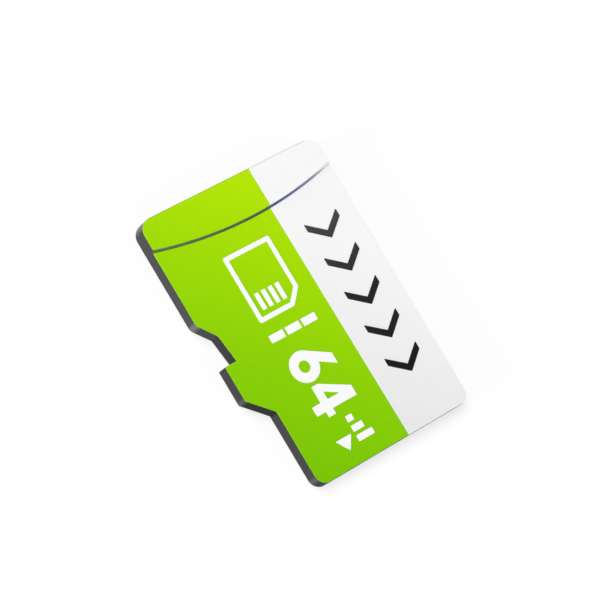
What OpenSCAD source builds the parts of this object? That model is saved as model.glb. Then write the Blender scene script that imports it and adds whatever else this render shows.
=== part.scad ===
// Removable flash memory card, 15 x 11 mm, lying on its contact side.
// Frame: origin at the middle of the underside, +Z up through the printed face,
// +Y towards the grip end, -Y towards the contact end that enters a socket first,
// -X towards the notched side. Millimetres.

/* [Card outline] */
// Length from the contact end to the grip end
card_len = 15.0; // [14.9:0.05:15.1]
// Width across the grip end
card_w = 11.0; // [10.9:0.05:11.1]
// Width across the contact end
front_w = 9.65; // [9.6:0.05:9.8]
// Radius of the two corners at the grip end
grip_r = 0.7; // [0.7:0.05:0.9]
// Radius of the two corners at the contact end
front_r = 0.6; // [0.5:0.05:0.9]
// Grip end to the start of the rear slope on the notched side
rear_slope_from = 5.55; // [5.45:0.05:5.65]
// Grip end to the end of the rear slope
rear_slope_to = 6.45; // [6.4:0.05:6.5]
// How far the rear slope steps in from the widest side
rear_slope_in = 0.72; // [0.65:0.01:0.8]
// Grip end to the square step of the notch
notch_at = 7.9; // [7.8:0.05:8.0]
// Depth of the notch from the widest side
notch_in = 0.9; // [0.85:0.05:0.95]
// Height of the square step of the notch
notch_step = 0.7; // [0.6:0.05:0.8]
// Grip end to the start of the front slope
front_slope_from = 9.75; // [9.7:0.05:9.85]
// Radius of the soft corner where the rear slope begins
soft_r = 0.4; // [0.2:0.05:0.5]
// Radius of the small corners of the notch
notch_r = 0.05; // [0.04:0.01:0.12]

/* [Thickness] */
// Thickness of the card away from the grip lip
body_t = 0.8; // [0.7:0.01:0.8]
// Thickness at the grip lip
lip_t = 0.96; // [0.95:0.01:1.1]
// Thickness of the printed ink
ink_t = 0.02; // [0.01:0.005:0.03]

/* [Grip lip] */
// Grip end to the lip's curved front, on the centre line
lip_mid = 2.12; // [2.0:0.01:2.2]
// Grip end to the lip's curved front, at the card's sides
lip_side = 1.46; // [1.4:0.01:1.6]
// How far the lip's front face leans back over its height
lip_draft = 0.1; // [0.02:0.01:0.12]

/* [Contacts] */
// Distance between contact centres
contact_pitch = 1.1; // [1.1:0.1:1.1]
// Width of one contact
contact_w = 0.8; // [0.75:0.01:0.85]
// Contact end of the card to the inner end of every contact
contact_inner = 4.0; // [3.9:0.05:4.1]
// Contact end of the card to the outer end of a signal contact
signal_outer = 1.1; // [1.05:0.05:1.2]
// Contact end of the card to the outer end of a supply or ground contact
power_outer = 0.8; // [0.7:0.05:0.9]
// Thickness of the plated copper contact
contact_t = 0.02; // [0.015:0.001:0.025]
// Radius of a contact's corners
contact_r = 0.2; // [0.1:0.05:0.25]

/* [Circuit board] */
// Thickness of the solder mask on the contact side
lower_mask_t = 0.03; // [0.025:0.005:0.035]
// Thickness of the laminate
core_t = 0.17; // [0.15:0.01:0.19]
// Thickness of the solder mask, and of the copper in its windows, on the chip side
upper_mask_t = 0.02; // [0.015:0.005:0.025]
// Diameter of a plated via
via_d = 0.16; // [0.12:0.01:0.2]
// Width of a copper trace
trace_w = 0.06; // [0.05:0.01:0.06]
// Length of a bond finger
finger_len = 0.16; // [0.12:0.01:0.2]
// Width of a bond finger
finger_w = 0.1; // [0.08:0.01:0.12]

/* [Memory chips] */
// Width of each memory die
mem_w = 8.6; // [8.0:0.1:8.7]
// Length of each memory die
mem_len = 10.1; // [9.6:0.1:10.2]
// Thickness of each memory die
mem_t = 0.08; // [0.06:0.01:0.09]
// How far the upper die steps back to uncover the lower die's bond pads
mem_step = 0.35; // [0.3:0.05:0.4]
// Thickness of the die attach film
film_t = 0.02; // [0.01:0.005:0.025]
// Connections along the front edge of each memory die
mem_lines = 16; // [8:1:16]

/* [Controller] */
// Width of the controller die
ctl_w = 3.2; // [3.1:0.1:3.4]
// Length of the controller die
ctl_len = 1.8; // [1.6:0.1:1.9]
// Thickness of the controller die
ctl_t = 0.1; // [0.08:0.01:0.12]

/* [Small components] */
// Length of a chip capacitor or resistor
chip_len = 0.6; // [0.55:0.05:0.65]
// Width of a chip capacitor or resistor
chip_w = 0.3; // [0.28:0.01:0.32]
// Height of a capacitor
cap_h = 0.3; // [0.25:0.01:0.32]
// Height of a resistor
res_h = 0.23; // [0.2:0.01:0.25]
// Length of an end termination
term_len = 0.15; // [0.12:0.01:0.18]
// Plating thickness of an end termination
term_t = 0.015; // [0.01:0.005:0.02]
// Thickness of a solder joint
solder_t = 0.015; // [0.01:0.005:0.02]

/* [Bond wires] */
// Thickness of a bond wire
wire_d = 0.02; // [0.018:0.001:0.025]
// Height of a wire loop above its upper end
loop_h = 0.07; // [0.05:0.01:0.1]

/* [Label print] */
// Width of the white band at the grip end
band_back = 4.23; // [4.0:0.01:4.5]
// Width of the white band at the contact end
band_front = 4.05; // [3.9:0.01:4.4]
// Bare margin at the contact end
print_front = 0.015; // [0.005:0.005:0.05]
// Bare margin at the grip end
print_back = 0.015; // [0.005:0.005:0.05]
// Thickness of the marks printed over the fields
mark_t = 0.01; // [0.005:0.001:0.015]

/* [Hidden] */

half_w = card_w / 2;
half_l = card_len / 2;
narrow_in = card_w - front_w;
front_slope_to = front_slope_from + narrow_in - (notch_in - notch_step);
ARC = 6;      // segments of a small rounded corner
ROUND = 96;   // facets of a full circle

// heights of the layers, from the underside up
z_core = lower_mask_t;
z_upper_mask = z_core + core_t;
z_board = z_upper_mask + upper_mask_t;
z_body = body_t - ink_t;
z_lip = lip_t - ink_t;

// ---- outline -------------------------------------------------------------
// corner points, anticlockwise from the grip end's straight side
outline_pts = [
    [half_w, half_l],
    [-half_w, half_l],
    [-half_w, half_l - rear_slope_from],
    [-half_w + rear_slope_in, half_l - rear_slope_to],
    [-half_w + notch_in, half_l - notch_at],
    [-half_w + notch_in - notch_step, half_l - notch_at],
    [-half_w + notch_in - notch_step, half_l - front_slope_from],
    [-half_w + narrow_in, half_l - front_slope_to],
    [-half_w + narrow_in, -half_l],
    [half_w, -half_l]
];
// radius of each corner; the sign says whether the corner points out (+) or in (-)
outline_r = [grip_r, grip_r, soft_r, -2 * notch_r, -notch_r, notch_r, 2 * notch_r, -2 * notch_r, front_r, front_r];
wide_corners = [0, 1, 8, 9];

function unit(v) = v / norm(v);
function ring(list, i) = list[(i + len(list)) % len(list)];
// the edge from p to q, moved to the left by d, as a point and a direction
function moved_edge(p, q, d) = let (u = unit(q - p)) [p + d * [-u.y, u.x], u];
function meet(a, b) = a[0] + a[1] * cross(b[0] - a[0], b[1]) / cross(a[1], b[1]);
function inset_pts(pts, d) = [for (i = [0:len(pts) - 1])
    meet(moved_edge(ring(pts, i - 1), pts[i], d), moved_edge(pts[i], ring(pts, i + 1), d))];
// centre of the arc of radius r that rounds corner v between its neighbours a and b
function arc_centre(a, v, b, r) = let (u = unit(a - v), w = unit(b - v)) v + unit(u + w) * r / sin(acos(u * w) / 2);
// n + 1 points along that arc
function arc_pts(a, v, b, r, n) = let (
    u = unit(a - v), w = unit(b - v), half = acos(u * w) / 2, c = arc_centre(a, v, b, r),
    t1 = v + u * r / tan(half), t2 = v + w * r / tan(half),
    a1 = atan2(t1.y - c.y, t1.x - c.x), a2 = atan2(t2.y - c.y, t2.x - c.x),
    turn = (a2 - a1 + 540) % 360 - 180
) [for (i = [0:n]) c + r * [cos(a1 + turn * i / n), sin(a1 + turn * i / n)]];

// the card seen from above, drawn in by d all round: the four wide corners are
// cut straight across and filled with a true circle, the small ones have points
module card_outline(d = 0) {
    p = d == 0 ? outline_pts : inset_pts(outline_pts, d);
    r = [for (v = outline_r) abs(v) - sign(v) * d];
    polygon([for (i = [0:len(p) - 1]) each
        arc_pts(ring(p, i - 1), p[i], ring(p, i + 1), r[i], len(search(i, wide_corners)) > 0 ? 1 : ARC)]);
    for (i = wide_corners) translate(arc_centre(ring(p, i - 1), p[i], ring(p, i + 1), r[i])) circle(r = r[i], $fn = ROUND);
}

module plate(z, t, d = 0) translate([0, 0, z]) linear_extrude(height = t) card_outline(d);

// ---- grip lip ------------------------------------------------------------
lip_rise = lip_mid - lip_side;
lip_r = (half_w * half_w + lip_rise * lip_rise) / (2 * lip_rise);
lip_c = half_l - lip_mid + lip_r;

// the lip's plan: everything behind its curved front, moved forward by d
module lip_side_of(d = 0) translate([0, lip_c]) circle(r = lip_r + d, $fn = 720);

module lip_block() intersection() {
    translate([0, 0, z_body - 0.05]) linear_extrude(height = z_lip - z_body + 0.05) card_outline();
    translate([0, lip_c, z_body - 0.05])
        cylinder(h = z_lip - z_body + 0.05,
                 r1 = lip_r + lip_draft * (z_lip - z_body + 0.05) / (z_lip - z_body), r2 = lip_r, $fn = 720);
}

// ---- contacts, vias, traces and fingers ----------------------------------
first_contact_x = -half_w + narrow_in + front_w / 2 - 3.5 * contact_pitch;
function contact_x(i) = first_contact_x + (i - 1) * contact_pitch;
function is_power(i) = i == 4 || i == 6;
function contact_y0(i) = -half_l + (is_power(i) ? power_outer : signal_outer);
contact_y1 = -half_l + contact_inner;

module rounded_rect(x0, y0, x1, y1, r) {
    translate([x0 + r, y0]) square([x1 - x0 - 2 * r, y1 - y0]);
    translate([x0, y0 + r]) square([x1 - x0, y1 - y0 - 2 * r]);
    for (x = [x0 + r, x1 - r], y = [y0 + r, y1 - r]) translate([x, y]) circle(r = r, $fn = 48);
}
module contact_plan(i) rounded_rect(contact_x(i) - contact_w / 2, contact_y0(i), contact_x(i) + contact_w / 2, contact_y1, contact_r);
module contact(i) color("goldenrod") translate([0, 0, lower_mask_t - contact_t]) linear_extrude(height = contact_t) contact_plan(i);

ctl_x = first_contact_x + 3.5 * contact_pitch - 0.05;
ctl_y = -half_l + 0.8;
host_pitch = 0.32;
bus_pitch = 0.19;
mem_pitch = 0.26;
mem_x = notch_in / 2;
mem_y = -half_l + 4.0;
host_finger_y = -half_l + 0.5;
bus_finger_y = ctl_y + ctl_len + 0.3;
mem_finger_y = mem_y - 0.45;
via_y = -half_l + 1.35;
function host_x(i) = ctl_x + (i - 4.5) * host_pitch;
function bus_x(i) = ctl_x + (i - (mem_lines + 1) / 2) * bus_pitch;
function mem_line_x(i) = mem_x + (i - (mem_lines + 1) / 2) * mem_pitch;

module finger_plan(x, y) translate([x - finger_w / 2, y - finger_len / 2]) square([finger_w, finger_len]);
module fingers_plan() {
    for (i = [1:8]) finger_plan(host_x(i), host_finger_y);
    for (i = [1:mem_lines]) { finger_plan(bus_x(i), bus_finger_y); finger_plan(mem_line_x(i), mem_finger_y); }
}
// one straight trace between two points, shortened at each by the given length, or longer where that is negative
module trace_plan(a, b, short_a, short_b) let (u = unit(b - a), n = [-u.y, u.x] * trace_w / 2, p = a + u * short_a, q = b - u * short_b)
    polygon([p + n, p - n, q - n, q + n]);
// traces lie below the mask and end flush against the fingers that they join
module copper_plan() difference() {
    union() {
        for (i = [1:8]) {
            trace_plan([host_x(i), host_finger_y + finger_len / 2], [contact_x(i), via_y], -0.02, via_d / 4);
            translate([contact_x(i), via_y]) circle(d = via_d * 1.5, $fn = 12);
        }
        for (i = [1:mem_lines])
            trace_plan([bus_x(i), bus_finger_y + finger_len / 2], [mem_line_x(i), mem_finger_y - finger_len / 2], -0.02, -0.02);
    }
    fingers_plan();
}
copper_t = upper_mask_t / 2;

// ---- small components ----------------------------------------------------
cap_at = [[2.95, -5.45], [3.65, -5.45], [4.35, -5.45], [-3.45, -5.45]];
res_at = [[-2.75, -5.45], [-2.05, -5.45]];
module at_parts(list) for (p = list) translate([p.x, p.y, 0]) children();

z_part = z_board + solder_t;
module land_plan(list) for (p = list, s = [-1, 1])
    translate([p.x - chip_w / 2, p.y + s * (chip_len - term_len) / 2 - term_len / 2]) square([chip_w, term_len]);
module solder(list) translate([0, 0, z_board]) linear_extrude(height = solder_t) land_plan(list);
// ceramic body: full section between the terminations, slimmer where they wrap it
module chip_body(h) {
    translate([-chip_w / 2, -chip_len / 2 + term_len, z_part]) cube([chip_w, chip_len - 2 * term_len, h]);
    translate([-chip_w / 2 + term_t, -chip_len / 2 + term_t, z_part + term_t]) cube([chip_w - 2 * term_t, chip_len - 2 * term_t, h - 2 * term_t]);
}
module chip_terminals(h) for (s = [-1, 1]) difference() {
    translate([-chip_w / 2, s * (chip_len - term_len) / 2 - term_len / 2, z_part]) cube([chip_w, term_len, h]);
    translate([-chip_w / 2 + term_t, -chip_len / 2 + term_t, z_part + term_t]) cube([chip_w - 2 * term_t, chip_len - 2 * term_t, h - 2 * term_t]);
}
module chip_envelope(list, h) for (p = list)
    translate([p.x - chip_w / 2, p.y - chip_len / 2, z_part]) cube([chip_w, chip_len, h]);

// ---- dies and wires --------------------------------------------------------
z_low = z_board + film_t;            // underside of the lower memory die and of the controller
z_high = z_low + mem_t + film_t;     // underside of the upper memory die
pad_in = 0.12;                       // die edge to the row of bond pads

module mem_block(z, t, back = 0) translate([mem_x - mem_w / 2, mem_y + back, z]) cube([mem_w, mem_len, t]);
module ctl_block(z, t) translate([ctl_x - ctl_w / 2, ctl_y, z]) cube([ctl_w, ctl_len, t]);

// a wire in the plane x = x0, from a pad at (ya, za) over a loop and down to (yb, zb)
module wire(x0, ya, za, yb, zb, loop = loop_h) let (s = sign(yb - ya), w = wire_d,
    top = za + loop, knee = ya + (yb - ya) * 0.45)
    translate([x0 - w / 2, 0, 0]) rotate([90, 0, 90]) linear_extrude(height = w)
        polygon([[ya - s * w / 2, za], [ya - s * w / 2, top], [knee, top], [yb + s * w / 2, zb + w], [yb + s * w / 2, zb],
                 [yb - s * w / 2, zb], [knee - s * w * 0.4, top - w], [ya + s * w / 2, top - w], [ya + s * w / 2, za]]);

module memory_wires() for (i = [1:mem_lines]) {
    // upper die to lower die, then lower die to its finger
    wire(mem_line_x(i) - 0.03, mem_y + mem_step + pad_in, z_high + mem_t, mem_y + pad_in + 0.03, z_low + mem_t, loop_h * 0.7);
    wire(mem_line_x(i) + 0.03, mem_y + pad_in - 0.03, z_low + mem_t, mem_finger_y, z_board);
}
module controller_wires() {
    for (i = [1:mem_lines]) wire(bus_x(i), ctl_y + ctl_len - pad_in, z_low + ctl_t, bus_finger_y, z_board);
    for (i = [1:8]) wire(host_x(i), ctl_y + pad_in, z_low + ctl_t, host_finger_y, z_board);
}

// everything that stands on the board, as the resin finds it
module buried() {
    mem_block(z_board, film_t + mem_t);
    mem_block(z_low + mem_t, film_t + mem_t, mem_step);
    ctl_block(z_board, film_t + ctl_t);
    chip_envelope(cap_at, cap_h);
    chip_envelope(res_at, res_h);
    solder(cap_at);
    solder(res_at);
    memory_wires();
    controller_wires();
}

// ---- label print -----------------------------------------------------------
// plan of the white band, beyond the card's ends so that it can be cut from any field
module band_plan() polygon([
    [half_w - band_front, -half_l - 1], [half_w + 1, -half_l - 1], [half_w + 1, half_l + 1], [half_w - band_back, half_l + 1]]);
// the print reaches the card's long sides and stops just short of its two ends
module print_plan() intersection() {
    card_outline();
    translate([-half_w - 1, -half_l + print_front]) square([card_w + 2, card_len - print_front - print_back]);
}
// the printed field on the body, ahead of the lip's foot
module body_field() difference() { print_plan(); lip_side_of(lip_draft + 0.01); }
// the printed field on top of the lip
module lip_field() intersection() { print_plan(); lip_side_of(-0.01); }

z_mark = body_t;
module bar(x0, y0, x1, y1) translate([x0, y0]) square([x1 - x0, y1 - y0]);
module ring_plan(r, s) difference() { circle(r = r, $fn = 72); circle(r = r - s, $fn = 72); }
// places what is drawn upright so that it reads from the grip end to the contact end
module reading(x, y) translate([x, y]) rotate([0, 0, -90]) children();
// chevron pointing to the contact end
module chevron(x, y, w, h, s) polygon([[x - w / 2, y], [x - w / 2, y - s], [x, y - h - s], [x + w / 2, y - s], [x + w / 2, y], [x, y - h]]);

num_h = 2.5;
num_w = 1.62;
num_s = 0.5;
// a ring with a straight stem that touches its outer and inner circles
module numeral_6() {
    r = num_w / 2;
    o = [r, r] + r * [cos(150), sin(150)];
    i = [r, r] + (r - num_s) * [cos(150), sin(150)];
    translate([r, r]) ring_plan(r, num_s);
    polygon([o, o + [cos(60), sin(60)] * (num_h - o.y) / sin(60), i + [cos(60), sin(60)] * (num_h - i.y) / sin(60), i]);
}
module numeral_4() difference() {
    polygon([[0.83, num_h], [1.36, num_h], [1.36, 0.98], [1.66, 0.98], [1.66, 0.54], [1.36, 0.54], [1.36, 0], [0.87, 0], [0.87, 0.54], [0, 0.54], [0, 0.93]]);
    polygon([[0.87, 0.98], [0.87, 1.75], [0.46, 0.98]]);
}
module insertion_arrow() polygon([[-2.25, -6.03], [-1.28, -6.03], [-1.765, -6.72]]);
// three bars that grow
module gauge_plan() for (i = [0:2]) bar(-1.1, -5.53 - i * 0.52, -0.72 + i * 0.3, -5.2 - i * 0.52);
// a plain card with a cut corner and four contact bars
module card_symbol() {
    difference() {
        polygon([[-2.45, 4.2], [0.4, 4.2], [0.4, 1.35], [-0.35, 0.6], [-2.45, 0.6]]);
        polygon([[-2.21, 3.96], [0.16, 3.96], [0.16, 1.45], [-0.45, 0.84], [-2.21, 0.84]]);
    }
    for (i = [0:3]) bar(-1.95 + i * 0.42, 1.1, -1.7 + i * 0.42, 2.0);
}
module white_marks_plan() {
    card_symbol();
    for (i = [0:2]) bar(-2.45 + i * 1.0, -0.5, -1.6 + i * 1.0, -0.1);
    reading(-2.4, -1.38) numeral_6();
    reading(-2.4, -3.2) numeral_4();
    gauge_plan();
    insertion_arrow();
}
module dark_marks_plan() for (i = [0:4]) chevron(3.45, 3.85 - i * 1.89, 2.05, 0.78, 0.42);

// ---- nodes -----------------------------------------------------------------
module mould_cap() color("dimgray") difference() {
    union() { plate(z_board, z_body - z_board); lip_block(); }
    buried();
}
module laminate_core() color("darkslategray") difference() {
    plate(z_core, core_t);
    for (i = [1:8]) translate([contact_x(i), via_y, z_core - 0.1]) cylinder(h = core_t + 0.2, d = via_d, $fn = 12);
}
module contact_side_mask() color("black") difference() {
    plate(0, lower_mask_t);
    for (i = [1:8]) translate([0, 0, -0.1]) linear_extrude(height = lower_mask_t + 0.2) contact_plan(i);
}
module chip_side_mask() color("black") difference() {
    plate(z_upper_mask, upper_mask_t);
    translate([0, 0, z_upper_mask - 0.1]) linear_extrude(height = upper_mask_t + 0.2) { fingers_plan(); land_plan(cap_at); land_plan(res_at); }
    translate([0, 0, z_upper_mask - 0.1]) linear_extrude(height = copper_t + 0.1) copper_plan();
}
module contact_vias() color("peru") for (i = [1:8])
    translate([contact_x(i), via_y, z_core]) cylinder(h = core_t, d = via_d, $fn = 12);
module copper_traces() color("peru") translate([0, 0, z_upper_mask]) linear_extrude(height = copper_t) copper_plan();
module bond_fingers() color("gold") translate([0, 0, z_upper_mask]) linear_extrude(height = upper_mask_t) fingers_plan();
module component_lands() color("gold") translate([0, 0, z_upper_mask]) linear_extrude(height = upper_mask_t) { land_plan(cap_at); land_plan(res_at); }
module memory_die_lower() color("slategray") mem_block(z_low, mem_t);
module memory_die_upper() color("slategray") mem_block(z_high, mem_t, mem_step);
module lower_die_film() color("khaki") mem_block(z_board, film_t);
module upper_die_film() color("khaki") mem_block(z_low + mem_t, film_t, mem_step);
module controller_die() color("slategray") ctl_block(z_low, ctl_t);
module controller_die_film() color("khaki") ctl_block(z_board, film_t);
module capacitor_bodies() color("tan") at_parts(cap_at) chip_body(cap_h);
module capacitor_terminals() color("silver") at_parts(cap_at) chip_terminals(cap_h);
module resistor_bodies() color("black") at_parts(res_at) chip_body(res_h);
module resistor_terminals() color("silver") at_parts(res_at) chip_terminals(res_h);
module solder_joints() color("lightgray") { solder(cap_at); solder(res_at); }
module memory_bond_wires() color("gold") memory_wires();
module controller_bond_wires() color("gold") controller_wires();
module green_ink() color("yellowgreen") {
    translate([0, 0, z_body]) linear_extrude(height = ink_t) difference() { body_field(); band_plan(); }
    translate([0, 0, z_lip]) linear_extrude(height = ink_t) difference() { lip_field(); band_plan(); }
}
module white_ink() color("whitesmoke") {
    translate([0, 0, z_body]) linear_extrude(height = ink_t) intersection() { body_field(); band_plan(); }
    translate([0, 0, z_lip]) linear_extrude(height = ink_t) intersection() { lip_field(); band_plan(); }
}
module white_marks() color("white") translate([0, 0, z_mark]) linear_extrude(height = mark_t) white_marks_plan();
module dark_marks() color("dimgray") translate([0, 0, z_mark]) linear_extrude(height = mark_t) dark_marks_plan();

mould_cap();
laminate_core();
contact_side_mask();
chip_side_mask();
contact(1);  // contact_1_data_2
contact(2);  // contact_2_data_3
contact(3);  // contact_3_command
contact(4);  // contact_4_supply
contact(5);  // contact_5_clock
contact(6);  // contact_6_ground
contact(7);  // contact_7_data_0
contact(8);  // contact_8_data_1
contact_vias();
copper_traces();
bond_fingers();
component_lands();
memory_die_lower();
memory_die_upper();
lower_die_film();
upper_die_film();
controller_die();
controller_die_film();
capacitor_bodies();
capacitor_terminals();
resistor_bodies();
resistor_terminals();
solder_joints();
memory_bond_wires();
controller_bond_wires();
green_ink();
white_ink();
white_marks();
dark_marks();
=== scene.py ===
import math

import bmesh
import bpy
from mathutils import Matrix, Vector


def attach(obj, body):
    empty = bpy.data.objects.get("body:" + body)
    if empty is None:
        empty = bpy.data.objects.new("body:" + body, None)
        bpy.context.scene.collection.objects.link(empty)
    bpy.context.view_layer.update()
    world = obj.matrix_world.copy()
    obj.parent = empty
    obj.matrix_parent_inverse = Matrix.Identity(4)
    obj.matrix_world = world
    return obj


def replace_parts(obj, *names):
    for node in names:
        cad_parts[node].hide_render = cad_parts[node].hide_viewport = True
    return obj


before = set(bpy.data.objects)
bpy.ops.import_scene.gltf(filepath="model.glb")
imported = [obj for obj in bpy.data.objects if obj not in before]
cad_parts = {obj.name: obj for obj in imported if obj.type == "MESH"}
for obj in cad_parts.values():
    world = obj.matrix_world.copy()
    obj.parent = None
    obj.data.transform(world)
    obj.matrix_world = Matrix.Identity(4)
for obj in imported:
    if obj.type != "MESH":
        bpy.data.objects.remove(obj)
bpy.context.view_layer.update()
MM = 0.001

# ---------------------------------------------------------------- sizes, in mm, as in the part's source
HALF_W, HALF_L = 5.5, 7.5
GRIP_R, FRONT_R, SOFT_R, NOTCH_R = 0.7, 0.6, 0.4, 0.05
CORNERS = [(5.5, 7.5), (-5.5, 7.5), (-5.5, 1.95), (-4.78, 1.05), (-4.6, -0.4), (-5.3, -0.4), (-5.3, -2.25),
           (-4.15, -3.4), (-4.15, -7.5), (5.5, -7.5)]
RADII = [GRIP_R, GRIP_R, SOFT_R, -2 * NOTCH_R, -NOTCH_R, NOTCH_R, 2 * NOTCH_R, -2 * NOTCH_R, FRONT_R, FRONT_R]
STEPS = [20, 20, 10, 5, 5, 5, 6, 5, 18, 18]
MASK_T, CORE_T, TOP_MASK_T = 0.03, 0.17, 0.02
Z_BOARD = MASK_T + CORE_T + TOP_MASK_T
BODY_T, LIP_T, INK_T, MARK_T = 0.8, 0.96, 0.02, 0.01
LIP_MID, LIP_SIDE, LIP_DRAFT = 2.12, 1.46, 0.1
LIP_RISE = LIP_MID - LIP_SIDE
LIP_R = (HALF_W ** 2 + LIP_RISE ** 2) / (2 * LIP_RISE)
LIP_C = HALF_L - LIP_MID + LIP_R
BAND_BACK, BAND_FRONT = 4.23, 4.05
PRINT_FRONT, PRINT_BACK = 0.015, 0.015


# ---------------------------------------------------------------- plane geometry
def v2(p):
    return Vector((p[0], p[1]))


def corner_arc(a, v, b, r, n):
    """n + 1 points of the arc of radius r that rounds corner v between its neighbours a and b."""
    a, v, b = v2(a), v2(v), v2(b)
    u, w = (a - v).normalized(), (b - v).normalized()
    half = math.acos(max(-1, min(1, u.dot(w)))) / 2
    c = v + (u + w).normalized() * (r / math.sin(half))
    t1, t2 = v + u * (r / math.tan(half)), v + w * (r / math.tan(half))
    a1, a2 = math.atan2(t1.y - c.y, t1.x - c.x), math.atan2(t2.y - c.y, t2.x - c.x)
    turn = (a2 - a1 + 3 * math.pi) % (2 * math.pi) - math.pi
    return [(c.x + r * math.cos(a1 + turn * i / n), c.y + r * math.sin(a1 + turn * i / n)) for i in range(n + 1)]


def rounded(points, radius, n=4):
    """A closed polygon with its corners rounded."""
    out = []
    for i, p in enumerate(points):
        r = radius[i] if isinstance(radius, (list, tuple)) else radius
        out += corner_arc(points[i - 1], p, points[(i + 1) % len(points)], r, n) if r > 0 else [p]
    return out


def inset(points, d):
    """An anticlockwise polygon with every edge moved inwards by d."""
    out, n = [], len(points)
    for i in range(n):
        a, v, b = v2(points[i - 1]), v2(points[i]), v2(points[(i + 1) % n])
        u, w = (v - a).normalized(), (b - v).normalized()
        p, q = a + Vector((-u.y, u.x)) * d, v + Vector((-w.y, w.x)) * d
        k = (q - p).cross(w) / u.cross(w)
        out.append(tuple(p + u * k))
    return out


def corner_arcs(d=0.0):
    pts = inset(CORNERS, d) if d else CORNERS
    arcs = []
    for i, p in enumerate(pts):
        r = abs(RADII[i]) - math.copysign(d, RADII[i])
        arcs.append(corner_arc(pts[i - 1], p, pts[(i + 1) % len(pts)], r, STEPS[i]))
    return arcs


def outline(d=0.0):
    return [p for arc in corner_arcs(d) for p in arc]


def lip_y(x, forward=0.0):
    """y of the lip's curve at x, moved forward by that much."""
    return LIP_C - math.sqrt((LIP_R + forward) ** 2 - x * x)


def lip_curve(forward, half, n=64):
    return [(x, lip_y(x, forward)) for x in [-half + 2 * half * i / n for i in range(n + 1)]]


def clip(points, a, b, c):
    """The part of a polygon where a x + b y <= c."""
    out = []
    for i, p in enumerate(points):
        q = points[(i + 1) % len(points)]
        dp, dq = a * p[0] + b * p[1] - c, a * q[0] + b * q[1] - c
        if dp <= 0:
            out.append(p)
        if (dp < 0) != (dq < 0) and dp != 0 and dq != 0:
            t = dp / (dp - dq)
            out.append((p[0] + t * (q[0] - p[0]), p[1] + t * (q[1] - p[1])))
    return out


# ---------------------------------------------------------------- mesh helpers
def finish_mesh(bm, name, material, smooth=35.0):
    """Turns a bmesh in mm into a clean closed object in metres that rides on the card."""
    bmesh.ops.remove_doubles(bm, verts=bm.verts, dist=1e-5)
    bmesh.ops.recalc_face_normals(bm, faces=bm.faces)
    bm.transform(Matrix.Scale(MM, 4))
    me = bpy.data.meshes.new(name)
    bm.to_mesh(me)
    bm.free()
    ob = bpy.data.objects.new(name, me)
    bpy.context.scene.collection.objects.link(ob)
    me.materials.append(material)
    shade(me, smooth)
    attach(ob, "root")
    return ob


def shade(me, angle):
    """Smooth round the corners, with level faces kept truly flat."""
    me.shade_smooth()
    me.set_sharp_from_angle(angle=math.radians(angle))
    for p in me.polygons:
        if abs(p.normal.z) > 0.9999:
            p.use_smooth = False


def plate(bm, outer, holes, z0, z1, soften=0.0, keep_sharp=None):
    """A closed slab between z0 and z1 with the given outline and holes. soften rounds its upper edge, apart from the edges that keep_sharp picks."""
    def loop(points, z):
        vs = [bm.verts.new((x, y, z)) for x, y in points]
        return vs, [bm.edges.new((vs[i - 1], vs[i])) for i in range(len(vs))]
    loops = [outer] + list(holes)
    low, high = [loop(p, z0) for p in loops], [loop(p, z1) for p in loops]
    walls = []
    for (lv, _), (hv, _) in zip(low, high):
        for i in range(len(lv)):
            walls.append(bm.faces.new((lv[i - 1], lv[i], hv[i], hv[i - 1])))
    if holes:
        top = bmesh.ops.triangle_fill(bm, use_beauty=True, use_dissolve=False, edges=[e for _, es in high for e in es])["geom"]
        bmesh.ops.triangle_fill(bm, use_beauty=True, use_dissolve=False, edges=[e for _, es in low for e in es])
    else:
        bm.faces.new(high[0][0])
        bm.faces.new(list(reversed(low[0][0])))
    if soften:
        rims = [e for _, es in high for e in es if keep_sharp is None or not keep_sharp(e)]
        bmesh.ops.bevel(bm, geom=rims, offset=soften, offset_type="OFFSET", segments=2, profile=0.5, affect="EDGES", clamp_overlap=True)


def slab(name, outer, holes, z0, z1, material, soften=0.0, keep_sharp=None):
    bm = bmesh.new()
    plate(bm, outer, holes, z0, z1, soften, keep_sharp)
    return finish_mesh(bm, name, material)


# ---------------------------------------------------------------- materials
def new_material(name):
    m = bpy.data.materials.new(name)
    m.use_nodes = True
    nt = m.node_tree
    nt.nodes.clear()
    out = nt.nodes.new("ShaderNodeOutputMaterial")
    bsdf = nt.nodes.new("ShaderNodeBsdfPrincipled")
    nt.links.new(bsdf.outputs[0], out.inputs[0])
    return m, nt, bsdf


def position(nt, stretch=(1, 1, 1)):
    """Place on the card in mm, stretched along each axis."""
    tc = nt.nodes.new("ShaderNodeTexCoord")
    mp = nt.nodes.new("ShaderNodeMapping")
    mp.inputs["Scale"].default_value = [1000 * s for s in stretch]
    nt.links.new(tc.outputs["Object"], mp.inputs["Vector"])
    return mp.outputs[0]


def noise(nt, vector, scale, detail=3.0, rough=0.55):
    n = nt.nodes.new("ShaderNodeTexNoise")
    n.inputs["Scale"].default_value = scale
    n.inputs["Detail"].default_value = detail
    n.inputs["Roughness"].default_value = rough
    nt.links.new(vector, n.inputs["Vector"])
    return n.outputs["Fac"]


def remap(nt, value, a, b, c, d):
    n = nt.nodes.new("ShaderNodeMapRange")
    n.inputs["From Min"].default_value, n.inputs["From Max"].default_value = a, b
    n.inputs["To Min"].default_value, n.inputs["To Max"].default_value = c, d
    nt.links.new(value, n.inputs["Value"])
    return n.outputs["Result"]


def ramp(nt, value, stops):
    n = nt.nodes.new("ShaderNodeValToRGB")
    cr = n.color_ramp
    cr.interpolation = "LINEAR"
    while len(cr.elements) < len(stops):
        cr.elements.new(0.5)
    for e, (pos, col) in zip(cr.elements, stops):
        e.position = pos
        e.color = (*col, 1)
    nt.links.new(value, n.inputs["Fac"])
    return n.outputs["Color"]


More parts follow.
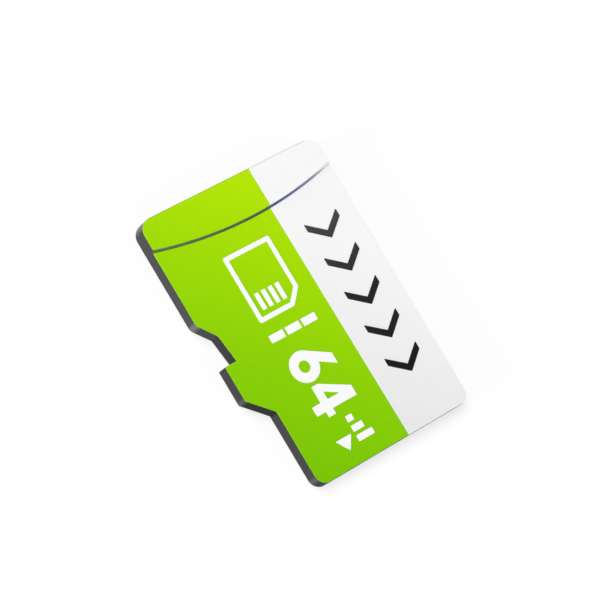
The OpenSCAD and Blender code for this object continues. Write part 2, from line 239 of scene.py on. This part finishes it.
def math_node(nt, op, a, b=None):
    n = nt.nodes.new("ShaderNodeMath")
    n.operation = op
    for i, x in enumerate((a, b)):
        if x is None:
            continue
        if isinstance(x, (int, float)):
            n.inputs[i].default_value = x
        else:
            nt.links.new(x, n.inputs[i])
    return n.outputs[0]


def tint(nt, colour, factor):
    """colour times a factor that varies over the surface."""
    n = nt.nodes.new("ShaderNodeVectorMath")
    n.operation = "SCALE"
    nt.links.new(colour, n.inputs[0])
    nt.links.new(factor, n.inputs["Scale"])
    return n.outputs[0]


def bump(nt, bsdf, height, distance, strength=1.0):
    n = nt.nodes.new("ShaderNodeBump")
    n.inputs["Strength"].default_value = strength
    n.inputs["Distance"].default_value = distance * MM
    nt.links.new(height, n.inputs["Height"])
    nt.links.new(n.outputs[0], bsdf.inputs["Normal"])


def surface(name, colour, spread, grain, rough, rough_spread, metallic=0.0, spec=0.5, stretch=(1, 1, 1), bump_mm=0.0, bump_grain=None, second=None):
    """A material whose colour, roughness and relief vary with noise of that grain (per mm)."""
    m, nt, bsdf = new_material(name)
    pos = position(nt, stretch)
    n1 = noise(nt, pos, grain)
    n2 = noise(nt, pos, grain * 0.17, 2.0)
    mix = math_node(nt, "ADD", math_node(nt, "MULTIPLY", n1, 0.6), math_node(nt, "MULTIPLY", n2, 0.4))
    lo = tuple(c * (1 - spread) for c in colour)
    hi = tuple(min(1.0, c * (1 + spread)) for c in (second or colour))
    nt.links.new(ramp(nt, mix, [(0.32, lo), (0.68, hi)]), bsdf.inputs["Base Color"])
    nt.links.new(remap(nt, n1, 0.3, 0.7, rough - rough_spread, rough + rough_spread), bsdf.inputs["Roughness"])
    bsdf.inputs["Metallic"].default_value = metallic
    bsdf.inputs["Specular IOR Level"].default_value = spec
    if bump_mm:
        bump(nt, bsdf, noise(nt, pos, bump_grain or grain, 4.0, 0.6), bump_mm)
    return m


def printed(name, stops, across=0.0, grain_strength=0.03, rough=0.42, spec=0.2, low=-7.5, high=7.5):
    """Ink with a gradient along the card, a fine dot grain and a faint orange peel. The gradient runs from low (0) to
    high (1) along the card, in mm, and across leans it towards the straight side.
    """
    m, nt, bsdf = new_material(name)
    pos = position(nt)
    sep = nt.nodes.new("ShaderNodeSeparateXYZ")
    nt.links.new(pos, sep.inputs[0])
    along = math_node(nt, "ADD", sep.outputs["Y"], math_node(nt, "MULTIPLY", sep.outputs["X"], across))
    t = remap(nt, along, low, high, 0.0, 1.0)
    base = ramp(nt, t, stops)
    fine = noise(nt, pos, 14.0, 2.0, 0.6)
    cloud = noise(nt, pos, 1.3, 2.0, 0.5)
    f = math_node(nt, "ADD", remap(nt, fine, 0.25, 0.75, 1 - grain_strength, 1 + grain_strength), remap(nt, cloud, 0.3, 0.7, -0.006, 0.006))
    nt.links.new(tint(nt, base, f), bsdf.inputs["Base Color"])
    nt.links.new(remap(nt, fine, 0.3, 0.7, rough - 0.05, rough + 0.05), bsdf.inputs["Roughness"])
    bsdf.inputs["Specular IOR Level"].default_value = spec
    peel = noise(nt, pos, 6.0, 2.0, 0.5)
    bump(nt, bsdf, math_node(nt, "ADD", peel, math_node(nt, "MULTIPLY", fine, 0.3)), 0.0012)
    return m


def mix(nt, factor, a, b):
    n = nt.nodes.new("ShaderNodeMix")
    n.data_type = "RGBA"
    nt.links.new(factor, n.inputs["Factor"])
    for i, c in ((6, a), (7, b)):
        if isinstance(c, tuple):
            n.inputs[i].default_value = (*c, 1)
        else:
            nt.links.new(c, n.inputs[i])
    return n.outputs[2]


def near(nt, sep, x, y, reach):
    """1 at that place in plan, falling to 0 at reach mm away."""
    dx = math_node(nt, "SUBTRACT", sep.outputs["X"], x)
    dy = math_node(nt, "SUBTRACT", sep.outputs["Y"], y)
    d = math_node(nt, "SQRT", math_node(nt, "ADD", math_node(nt, "MULTIPLY", dx, dx), math_node(nt, "MULTIPLY", dy, dy)))
    return remap(nt, d, reach * 0.2, reach, 1.0, 0.0)


def edge_grey_with_painted_shade(nt, sep):
    """The grey of the card's edge, with painted shade: darker on the slopes, at the front corner and in the notch of
    the notched side than on its straight stretches.
    """
    stops = [(-7.5, 0.3), (-7.3, 0.38), (-7.05, 0.72), (-3.55, 0.72), (-3.4, 0.12), (-2.42, 0.12), (-2.28, 0.68), (-0.44, 0.68),
             (-0.36, 0.5), (1.02, 0.5), (1.12, 0.85), (1.8, 0.88), (2.05, 1.0), (7.5, 1.0)]
    # painted shade: the factors darken the slopes, front corner and notch below the straight stretches' grey
    notched = ramp(nt, remap(nt, sep.outputs["Y"], -7.5, 7.5, 0.0, 1.0), [((y + 7.5) / 15, (0.039 * k, 0.039 * k, 0.040 * k)) for y, k in stops])
    return mix(nt, remap(nt, sep.outputs["X"], -3.5, -1.0, 0.0, 1.0), notched, (0.039, 0.039, 0.040))


def painted_corner_highlight(nt, sep):
    """How much lighter the edge is at its outer corners: a painted highlight."""
    total = None
    for x, y, reach, gain in ((-5.02, 7.38, 0.55, 3.6), (-5.47, 1.92, 0.26, 2.3), (-5.29, -2.24, 0.2, 1.3), (-4.1, -7.12, 0.24, 1.6)):
        part = math_node(nt, "MULTIPLY", near(nt, sep, x, y, reach), gain)
        total = part if total is None else math_node(nt, "ADD", total, part)
    return math_node(nt, "ADD", total, 1.0)


def resin():
    """Fine matt resin, with painted shade on the edge's slopes and notch and a painted highlight on its outer corners.
    The lip's sloping front carries the label's ink colours along its upper edge and a painted shade line below them,
    lightening and narrowing towards the straight side.
    """
    m, nt, bsdf = new_material("moulded_resin")
    pos = position(nt)
    sep = nt.nodes.new("ShaderNodeSeparateXYZ")
    nt.links.new(pos, sep.inputs[0])
    fine, broad = noise(nt, pos, 24.0, 3.0), noise(nt, pos, 3.0, 2.0)
    spots = math_node(nt, "ADD", remap(nt, fine, 0.25, 0.75, 0.88, 1.12), remap(nt, broad, 0.3, 0.7, -0.03, 0.03))
    # the edge's grey, with painted shade on the slopes and notch and a painted highlight on the outer corners
    base = tint(nt, edge_grey_with_painted_shade(nt, sep), math_node(nt, "MULTIPLY", spots, painted_corner_highlight(nt, sep)))
    # the sloping front of the lip: farther from the curve's centre than its upper edge, and above the body's top
    dy = math_node(nt, "SUBTRACT", sep.outputs["Y"], LIP_C)
    r = math_node(nt, "SQRT", math_node(nt, "ADD", math_node(nt, "MULTIPLY", sep.outputs["X"], sep.outputs["X"]), math_node(nt, "MULTIPLY", dy, dy)))
    front = math_node(nt, "GREATER_THAN", r, LIP_R - 0.03)
    for more in (math_node(nt, "LESS_THAN", r, LIP_R + LIP_DRAFT + 0.03), math_node(nt, "GREATER_THAN", sep.outputs["Z"], BODY_T - INK_T - 0.001),
                 math_node(nt, "LESS_THAN", math_node(nt, "ABSOLUTE", sep.outputs["X"]), HALF_W - 0.004)):
        front = math_node(nt, "MULTIPLY", front, more)
    along = remap(nt, sep.outputs["X"], -5.5, 5.5, 0.0, 1.0)
    # painted shade: the shade line's colour, dark green under the green print, then blue-grey, lightening towards the
    # straight side
    painted_lip_shade = ramp(nt, along, [(0.0, (0.105, 0.175, 0.09)), (0.6, (0.075, 0.125, 0.08)), (0.63, (0.09, 0.108, 0.24)), (0.8, (0.185, 0.215, 0.42)), (0.88, (0.28, 0.32, 0.48)), (0.93, (0.47, 0.5, 0.6)), (0.98, (0.84, 0.86, 0.93))])
    ink = ramp(nt, along, [(0.0, (0.33, 0.70, 0.001)), (0.612, (0.42, 0.76, 0.001)), (0.614, (0.92, 0.92, 0.92)), (1.0, (0.93, 0.93, 0.93))])
    # the painted shade line narrows at the straight side
    upper = remap(nt, sep.outputs["X"], 4.2, 5.4, LIP_R - 0.004, LIP_R + 0.05)
    ink_and_painted_lip_shade = mix(nt, math_node(nt, "GREATER_THAN", r, upper), ink, tint(nt, painted_lip_shade, spots))
    nt.links.new(mix(nt, front, base, ink_and_painted_lip_shade), bsdf.inputs["Base Color"])
    nt.links.new(remap(nt, fine, 0.3, 0.7, 0.52, 0.64), bsdf.inputs["Roughness"])
    bsdf.inputs["Specular IOR Level"].default_value = 0.15
    bump(nt, bsdf, noise(nt, pos, 30.0, 4.0, 0.6), 0.004)
    return m


def laminate():
    """Sawn edge of the board: fine layers that run along it."""
    m, nt, bsdf = new_material("laminate_edge")
    pos, layers = position(nt), position(nt, (0.5, 0.5, 3.0))
    sep = nt.nodes.new("ShaderNodeSeparateXYZ")
    nt.links.new(pos, sep.inputs[0])
    n1, n2 = noise(nt, layers, 14.0), noise(nt, layers, 2.4, 2.0)
    spots = math_node(nt, "ADD", remap(nt, n1, 0.25, 0.75, 0.84, 1.12), remap(nt, n2, 0.3, 0.7, -0.05, 0.05))
    # the sawn edge's grey, with painted shade on the slopes and notch and a painted highlight on the outer corners
    nt.links.new(tint(nt, edge_grey_with_painted_shade(nt, sep), math_node(nt, "MULTIPLY", spots, painted_corner_highlight(nt, sep))), bsdf.inputs["Base Color"])
    nt.links.new(remap(nt, n1, 0.3, 0.7, 0.47, 0.63), bsdf.inputs["Roughness"])
    bsdf.inputs["Specular IOR Level"].default_value = 0.15
    bump(nt, bsdf, noise(nt, layers, 18.0, 4.0, 0.6), 0.003)
    return m


M_MOULD = resin()
M_LAMINATE = laminate()
M_GOLD = surface("gold_plating", (0.80, 0.53, 0.16), 0.05, 9.0, 0.27, 0.06, metallic=1.0, stretch=(3.0, 0.25, 3.0), bump_mm=0.0008, bump_grain=20.0, second=(0.90, 0.64, 0.25))
M_COPPER = surface("copper", (0.72, 0.33, 0.16), 0.08, 12.0, 0.35, 0.08, metallic=1.0)
M_SILICON = surface("silicon", (0.13, 0.14, 0.16), 0.06, 3.0, 0.22, 0.04, metallic=0.6)
M_FILM = surface("die_attach_film", (0.50, 0.42, 0.22), 0.06, 8.0, 0.5, 0.05)
M_CAPACITOR = surface("capacitor_ceramic", (0.43, 0.29, 0.16), 0.08, 20.0, 0.5, 0.06, bump_mm=0.002)
M_RESISTOR = surface("resistor_ceramic", (0.03, 0.03, 0.035), 0.15, 20.0, 0.4, 0.06, bump_mm=0.002)
M_TIN = surface("tin_plating", (0.72, 0.72, 0.70), 0.06, 18.0, 0.35, 0.08, metallic=1.0, bump_mm=0.002)


def solder_mask(name, spec):
    """Satin mask over the copper. Its sawn edge looks like the rest of the board's."""
    m, nt, bsdf = new_material(name)
    pos = position(nt)
    sep, facing = nt.nodes.new("ShaderNodeSeparateXYZ"), nt.nodes.new("ShaderNodeSeparateXYZ")
    nt.links.new(pos, sep.inputs[0])
    nt.links.new(nt.nodes.new("ShaderNodeNewGeometry").outputs["Normal"], facing.inputs[0])
    level = math_node(nt, "GREATER_THAN", math_node(nt, "ABSOLUTE", facing.outputs["Z"]), 0.6)
    n1 = noise(nt, pos, 10.0)
    # the sawn edge's grey, with painted shade on the slopes and notch and a painted highlight on the outer corners
    edge = tint(nt, edge_grey_with_painted_shade(nt, sep), math_node(nt, "MULTIPLY", remap(nt, n1, 0.25, 0.75, 0.9, 1.1), painted_corner_highlight(nt, sep)))
    nt.links.new(mix(nt, level, edge, ramp(nt, n1, [(0.3, (0.008, 0.009, 0.009)), (0.7, (0.014, 0.015, 0.015))])), bsdf.inputs["Base Color"])
    satin = remap(nt, n1, 0.3, 0.7, 0.3, 0.4)
    nt.links.new(math_node(nt, "ADD", satin, remap(nt, level, 0.0, 1.0, 0.22, 0.0)), bsdf.inputs["Roughness"])
    bsdf.inputs["Specular IOR Level"].default_value = spec
    # the mask follows the copper under it: broad tracks that turn at right angles, in low relief
    vor = nt.nodes.new("ShaderNodeTexVoronoi")
    vor.feature, vor.distance = "F1", "CHEBYCHEV"
    vor.inputs["Scale"].default_value = 1.1
    nt.links.new(pos, vor.inputs["Vector"])
    track = remap(nt, math_node(nt, "PINGPONG", vor.outputs["Distance"], 0.16), 0.05, 0.09, 0.0, 1.0)
    bump(nt, bsdf, math_node(nt, "ADD", track, math_node(nt, "MULTIPLY", n1, 0.15)), 0.005)
    return m


M_MASK, M_INNER_MASK = solder_mask("solder_mask", 0.4), solder_mask("inner_solder_mask", 0.15)
# green ink: its gradient is partly a printed hue shift and partly painted shade, darker towards the contact end and the
# notched side
M_GREEN_INK_AND_PAINTED_SHADE = printed("green_print", [(0.0, (0.19, 0.555, 0.001)), (0.36, (0.262, 0.636, 0.001)), (0.68, (0.362, 0.728, 0.001)), (0.95, (0.46, 0.79, 0.001))], across=0.9, spec=0.06, low=-11.0, high=8.6)
# white ink: its gradient, greyer towards the contact end and the notched side, is painted shade
M_WHITE_WITH_PAINTED_SHADE = printed("white_print", [(0.0, (0.83, 0.83, 0.83)), (0.8, (0.95, 0.95, 0.95)), (1.0, (0.955, 0.955, 0.955))], across=0.95, grain_strength=0.005, low=-5.5, high=9.5)
M_MARK = printed("white_mark_print", [(0.0, (0.97, 0.97, 0.97)), (1.0, (0.98, 0.98, 0.98))], grain_strength=0.005)
M_DARK = printed("dark_mark_print", [(0.1, (0.004, 0.004, 0.004)), (0.5, (0.018, 0.018, 0.018)), (0.85, (0.075, 0.075, 0.076))], grain_strength=0.05)


# ---------------------------------------------------------------- resin body with the grip lip
def resin_body():
    bm = bmesh.new()
    z_body, z_lip, r = BODY_T - INK_T, LIP_T - INK_T, 0.02
    profile = [(LIP_DRAFT, z_body), (LIP_DRAFT * r / (z_lip - z_body), z_lip - r), (-r * 0.2, z_lip - r * 0.3), (-r, z_lip)]
    arcs = corner_arcs()
    ring = []  # (x, y, z of the upper edge, kind)
    for arc in arcs[:2]:
        ring += [(x, y, z_lip, "lip") for x, y in arc]
    ring += [(-HALF_W, lip_y(HALF_W, f), z, k) for k, (f, z) in reversed(list(enumerate(profile)))]
    for arc in arcs[2:]:
        ring += [(x, y, z_body, "body") for x, y in arc]
    ring += [(HALF_W, lip_y(HALF_W, f), z, k) for k, (f, z) in enumerate(profile)]
    low = [bm.verts.new((x, y, Z_BOARD)) for x, y, z, k in ring]
    high = [bm.verts.new((x, y, z)) for x, y, z, k in ring]
    for i in range(len(ring)):
        bm.faces.new((low[i - 1], low[i], high[i], high[i - 1]))
    bm.faces.new(list(reversed(low)))
    kinds = [k for *_, k in ring]
    left = {k: high[i] for i, k in enumerate(kinds) if isinstance(k, int) and ring[i][0] < 0}
    right = {k: high[i] for i, k in enumerate(kinds) if isinstance(k, int) and ring[i][0] > 0}
    rows = []
    for k, (f, z) in enumerate(profile):
        rows.append([left[k]] + [bm.verts.new((x, y, z)) for x, y in lip_curve(f, HALF_W)[1:-1]] + [right[k]])
    for a, b in zip(rows, rows[1:]):
        for i in range(len(a) - 1):
            bm.faces.new((a[i], a[i + 1], b[i + 1], b[i]))
    body = [high[i] for i, k in enumerate(kinds) if k == "body"]
    bm.faces.new(body + list(reversed(rows[0])))
    lip = [high[i] for i, k in enumerate(kinds) if k == "lip"]
    bm.faces.new(lip + rows[-1])
    ob = finish_mesh(bm, "resin_body", M_MOULD)
    return ob


def cut_pockets(ob, nodes):
    """Takes what is buried in the resin out of it, one CAD node at a time. Feet reach a little into what they stand on, so that no cut ends in a shared face. A cut that would leave an open mesh is left out."""
    low_die, chip, high_die = Z_BOARD + 0.1, Z_BOARD + 0.12, Z_BOARD + 0.2
    feet = {"memory_bond_wires": (Z_BOARD, low_die, high_die), "controller_bond_wires": (Z_BOARD, chip)}
    for name in nodes:
        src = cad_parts[name]
        bm = bmesh.new()
        bm.from_mesh(src.data)
        bmesh.ops.remove_doubles(bm, verts=bm.verts, dist=1e-8)
        for v in bm.verts:
            if any(abs(v.co.z / MM - h) < 1e-4 for h in feet.get(name, (Z_BOARD,))):
                v.co.z -= 0.005 * MM
        bmesh.ops.recalc_face_normals(bm, faces=bm.faces)
        me = bpy.data.meshes.new("cutter")
        bm.to_mesh(me)
        bm.free()
        cutter = bpy.data.objects.new("cutter", me)
        bpy.context.scene.collection.objects.link(cutter)
        mod = ob.modifiers.new("cut", "BOOLEAN")
        mod.operation, mod.solver, mod.object = "DIFFERENCE", "EXACT", cutter
        bpy.context.view_layer.update()
        done = bpy.data.meshes.new_from_object(ob.evaluated_get(bpy.context.evaluated_depsgraph_get()))
        ob.modifiers.remove(mod)
        bpy.data.objects.remove(cutter)
        bpy.data.meshes.remove(me)
        test = bmesh.new()
        test.from_mesh(done)
        closed = len(test.faces) > 0 and all(e.is_manifold for e in test.edges)
        test.free()
        print("POCKET", name, "closed" if closed else "OPEN", len(done.polygons))
        if closed:
            old = ob.data
            ob.data = done
            ob.data.name = old.name
            bpy.data.meshes.remove(old)
        else:
            bpy.data.meshes.remove(done)
    shade(ob.data, 35.0)


cap = resin_body()
cut_pockets(cap, ["memory_die_lower", "lower_die_film", "memory_die_upper", "upper_die_film", "controller_die", "controller_die_film",
                  "capacitor_bodies", "capacitor_terminals", "resistor_bodies", "resistor_terminals", "solder_joints",
                  "memory_bond_wires", "controller_bond_wires"])
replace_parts(cap, "mould_cap")

# ---------------------------------------------------------------- circuit board
PITCH, PAD_W = 1.1, 0.8
FIRST = -HALF_W + 1.35 + 9.65 / 2 - 3.5 * PITCH
VIA_Y = -HALF_L + 1.35


def pad_outline(i, d=0.0):
    x, y0, y1 = FIRST + (i - 1) * PITCH, -HALF_L + (0.8 if i in (4, 6) else 1.1), -HALF_L + 4.0
    a = PAD_W / 2 - d
    return rounded([(x - a, y0 + d), (x + a, y0 + d), (x + a, y1 - d), (x - a, y1 - d)], 0.2 - d, 8)


def circle(x, y, r, n=12, turn=0.0):
    return [(x + r * math.cos(2 * math.pi * i / n + turn), y + r * math.sin(2 * math.pi * i / n + turn)) for i in range(n)]


core = slab("laminate", outline(), [circle(FIRST + i * PITCH, VIA_Y, 0.08) for i in range(8)], MASK_T, MASK_T + CORE_T, M_LAMINATE)
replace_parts(core, "laminate_core")


def lower_mask():
    """The mask lies against the laminate, and its lower edges are soft."""
    bm = bmesh.new()
    plate(bm, outline(), [pad_outline(i) for i in range(1, 9)], -MASK_T, 0.0, 0.008)
    bmesh.ops.scale(bm, vec=(1, 1, -1), verts=bm.verts)
    return finish_mesh(bm, "contact_side_solder_mask", M_MASK)


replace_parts(lower_mask(), "contact_side_mask")

CONTACTS = ["contact_1_data_2", "contact_2_data_3", "contact_3_command", "contact_4_supply", "contact_5_clock", "contact_6_ground", "contact_7_data_0", "contact_8_data_1"]
for i, node in enumerate(CONTACTS, 1):
    bm = bmesh.new()
    plate(bm, pad_outline(i), [], -MASK_T, -MASK_T + 0.02, 0.006)
    bmesh.ops.scale(bm, vec=(1, 1, -1), verts=bm.verts)
    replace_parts(finish_mesh(bm, node.replace("contact_", "gold_contact_"), M_GOLD), node)

# ---------------------------------------------------------------- printed fields
Z_BODY, Z_LIP = BODY_T - INK_T, LIP_T - INK_T
B0, B1 = (HALF_W - BAND_FRONT, -HALF_L - 1), (HALF_W - BAND_BACK, HALF_L + 1)
BAND = (B1[1] - B0[1], -(B1[0] - B0[0]))  # a x + b y <= c is the green side
BAND_C = BAND[0] * B0[0] + BAND[1] * B0[1]


def field_outlines():
    arcs = corner_arcs()
    body = [(-HALF_W, lip_y(HALF_W, LIP_DRAFT + 0.01))] + [p for arc in arcs[2:] for p in arc] + [(HALF_W, lip_y(HALF_W, LIP_DRAFT + 0.01))]
    body += list(reversed(lip_curve(LIP_DRAFT + 0.01, HALF_W)))[1:-1]
    lip = [p for arc in arcs[:2] for p in arc] + lip_curve(-0.022, HALF_W)
    return clip(body, 0, -1, HALF_L - PRINT_FRONT), clip(lip, 0, 1, HALF_L - PRINT_BACK)


def on_join(e):
    """Edges on the straight line where the two inks meet."""
    return all(abs(BAND[0] * v.co.x + BAND[1] * v.co.y - BAND_C) < 1e-3 for v in e.verts)


body_field, lip_field = field_outlines()
for name, node, material, slot, s in (("green_field", "green_ink", M_GREEN_INK_AND_PAINTED_SHADE, "green_print", 1), ("white_field", "white_ink", M_WHITE_WITH_PAINTED_SHADE, "white_print", -1)):
    bm = bmesh.new()
    for points, z in ((body_field, Z_BODY), (lip_field, Z_LIP)):
        plate(bm, clip(points, s * BAND[0], s * BAND[1], s * BAND_C), [], z, z + INK_T, 0.005, on_join)
    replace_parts(finish_mesh(bm, name, material), node)


# ---------------------------------------------------------------- printed marks
def reading(points, x0, y0):
    """Upright points placed so that they read from the grip end to the contact end."""
    return [(x0 + v, y0 - u) for u, v in points]


def bar(x0, y0, x1, y1, r=0.03):
    return rounded([(x0, y0), (x1, y0), (x1, y1), (x0, y1)], r, 3)


NUM_H, NUM_W, NUM_S = 2.5, 1.62, 0.5


def numeral_6():
    r, c = NUM_W / 2, (NUM_W / 2, NUM_W / 2)
    at = lambda rad, deg: (c[0] + rad * math.cos(math.radians(deg)), c[1] + rad * math.sin(math.radians(deg)))
    up = lambda p: (p[0] + (NUM_H - p[1]) / math.tan(math.radians(60)), NUM_H)
    start = math.degrees(math.acos((r - NUM_S) / r))
    o, i = at(r, 150), at(r - NUM_S, 150)
    outer = [at(r, 150 + (360 - start) * k / 56) for k in range(57)]  # anticlockwise from the tangent point round to the stem
    outer += corner_arc(outer[-1], up(i), up(o), 0.03, 3) + corner_arc(up(i), up(o), o, 0.03, 3)
    return outer, [at(r - NUM_S, 150 - 360 * k / 40) for k in range(40)]


def numeral_4():
    outer = [(0.83, 2.5), (0, 0.93), (0, 0.54), (0.87, 0.54), (0.87, 0), (1.36, 0), (1.36, 0.54), (1.66, 0.54), (1.66, 0.98), (1.36, 0.98), (1.36, 2.5)]
    return rounded(outer, [0.03, 0.03, 0.03, 0.02, 0.03, 0.03, 0.02, 0.03, 0.03, 0.02, 0.03], 3), rounded([(0.87, 0.98), (0.87, 1.75), (0.46, 0.98)], 0.015, 2)


def white_shapes():
    shapes = [(rounded([(-2.45, 4.2), (-2.45, 0.6), (-0.35, 0.6), (0.4, 1.35), (0.4, 4.2)], 0.12, 5),
               [list(reversed(rounded([(-2.21, 3.96), (-2.21, 0.84), (-0.45, 0.84), (0.16, 1.45), (0.16, 3.96)], 0.04, 4)))])]
    shapes += [(bar(-1.95 + i * 0.42, 1.1, -1.7 + i * 0.42, 2.0), []) for i in range(4)]
    shapes += [(bar(-2.45 + i, -0.5, -1.6 + i, -0.1), []) for i in range(3)]
    for (outer, hole), y in ((numeral_6(), -1.38), (numeral_4(), -3.2)):
        shapes.append((reading(outer, -2.4, y), [reading(hole, -2.4, y)]))
    shapes += [(bar(-1.1, -5.53 - i * 0.52, -0.72 + i * 0.3, -5.2 - i * 0.52), []) for i in range(3)]
    shapes.append((rounded([(-2.25, -6.03), (-1.765, -6.72), (-1.28, -6.03)], 0.03, 3), []))
    return shapes


def dark_shapes():
    w, h, s = 2.05, 0.78, 0.42
    return [(rounded([(3.45 - w / 2, y), (3.45 - w / 2, y - s), (3.45, y - h - s), (3.45 + w / 2, y - s), (3.45 + w / 2, y), (3.45, y - h)],
                     [0.03, 0.03, 0.04, 0.03, 0.03, 0.03], 3), []) for y in [3.85 - i * 1.89 for i in range(5)]]


for name, node, material, slot, shapes in (("white_print_marks", "white_marks", M_MARK, "white_print", white_shapes()),
                                           ("dark_print_marks", "dark_marks", M_DARK, "dark_print", dark_shapes())):
    bm = bmesh.new()
    for outer, holes in shapes:
        plate(bm, outer, holes, BODY_T, BODY_T + MARK_T, 0.004)
    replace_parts(finish_mesh(bm, name, material), node)

# ---------------------------------------------------------------- carried-over CAD nodes
CARRIED = {"chip_side_mask": M_INNER_MASK, "contact_vias": M_COPPER, "copper_traces": M_COPPER, "bond_fingers": M_GOLD, "component_lands": M_GOLD,
           "memory_die_lower": M_SILICON, "memory_die_upper": M_SILICON, "lower_die_film": M_FILM, "upper_die_film": M_FILM,
           "controller_die": M_SILICON, "controller_die_film": M_FILM, "capacitor_bodies": M_CAPACITOR, "capacitor_terminals": M_TIN,
           "resistor_bodies": M_RESISTOR, "resistor_terminals": M_TIN, "solder_joints": M_TIN, "memory_bond_wires": M_GOLD, "controller_bond_wires": M_GOLD}
for node, material in CARRIED.items():
    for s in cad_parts[node].material_slots:
        s.material = material

# ---------------------------------------------------------------- floor, backdrop, light and camera
def stage_material(name, colour, glow, rough=0.5, spec=0.3):
    m, nt, bsdf = new_material(name)
    n = noise(nt, position(nt), 0.06, 2.0)
    nt.links.new(ramp(nt, n, [(0.3, tuple(c * 0.995 for c in colour)), (0.7, colour)]), bsdf.inputs["Base Color"])
    bsdf.inputs["Roughness"].default_value = rough
    bsdf.inputs["Specular IOR Level"].default_value = spec
    bsdf.inputs["Emission Color"].default_value = (1, 1, 1, 1)
    bsdf.inputs["Emission Strength"].default_value = glow
    return m


bm = bmesh.new()
bmesh.ops.create_circle(bm, cap_ends=True, segments=96, radius=0.9)
me = bpy.data.meshes.new("floor")
bm.to_mesh(me)
bm.free()
floor = bpy.data.objects.new("floor", me)
bpy.context.scene.collection.objects.link(floor)
floor.location.z = -0.01 * MM
me.materials.append(stage_material("floor_white", (0.30, 0.30, 0.30), 0.72))

world = bpy.data.worlds.new("world")
bpy.context.scene.world = world
world.use_nodes = True
wt = world.node_tree
sky = wt.nodes.new("ShaderNodeSeparateXYZ")
wt.links.new(wt.nodes.new("ShaderNodeTexCoord").outputs["Generated"], sky.inputs[0])
# pale round the horizon, dimmer overhead
wt.links.new(ramp(wt, sky.outputs["Z"], [(0.0, (1.0, 1.0, 1.0)), (0.12, (0.95, 0.95, 0.95)), (0.35, (0.16, 0.16, 0.16)), (1.0, (0.14, 0.14, 0.14))]), wt.nodes["Background"].inputs["Color"])


def softbox(name, azimuth, elevation, distance, size, level):
    """level is what it gives a white surface that faces it, as a share of full white."""
    a, e = math.radians(azimuth), math.radians(elevation)
    to = Vector((math.cos(e) * math.cos(a), math.cos(e) * math.sin(a), math.sin(e)))
    light = bpy.data.lights.new(name, "AREA")
    light.shape, light.size = "DISK", size
    light.energy = level * math.pi ** 2 * distance ** 2
    ob = bpy.data.objects.new(name, light)
    ob.location = to * distance
    ob.rotation_euler = to.to_track_quat("Z", "Y").to_euler()
    bpy.context.scene.collection.objects.link(ob)


softbox("key", 122, 62, 0.6, 0.5, 0.78)
softbox("side_light", 176, 8, 0.6, 0.16, 0.8)
softbox("fill", -60, 20, 0.6, 0.3, 0.3)

# the photograph's camera, found from the card's outline
R = ((0.7566819796, -0.5116862836, 0.4069515067), (-0.4083433518, -0.8560036843, -0.3170384826), (0.5105762321, 0.0737213644, -0.8566662545))
T = Vector((-0.0216972452, 0.8946448227, 127.2694564592))
rows = [Vector(r) for r in R]
where = -(rows[0] * T.x + rows[1] * T.y + rows[2] * T.z)
cam_data = bpy.data.cameras.new("camera")
cam_data.sensor_fit, cam_data.sensor_width = "HORIZONTAL", 36.0
cam_data.lens = 36.0 * 2645.3787 / 600
cam_data.clip_start, cam_data.clip_end = 0.005, 20.0
cam = bpy.data.objects.new("camera", cam_data)
right, up, back = rows[0], -rows[1], -rows[2]
cam.matrix_world = Matrix(((right.x, up.x, back.x, where.x * MM), (right.y, up.y, back.y, where.y * MM), (right.z, up.z, back.z, where.z * MM), (0, 0, 0, 1)))
bpy.context.scene.collection.objects.link(cam)
bpy.context.scene.camera = cam
bpy.context.scene.view_settings.view_transform = "Standard"
bpy.context.scene.view_settings.look = "None"
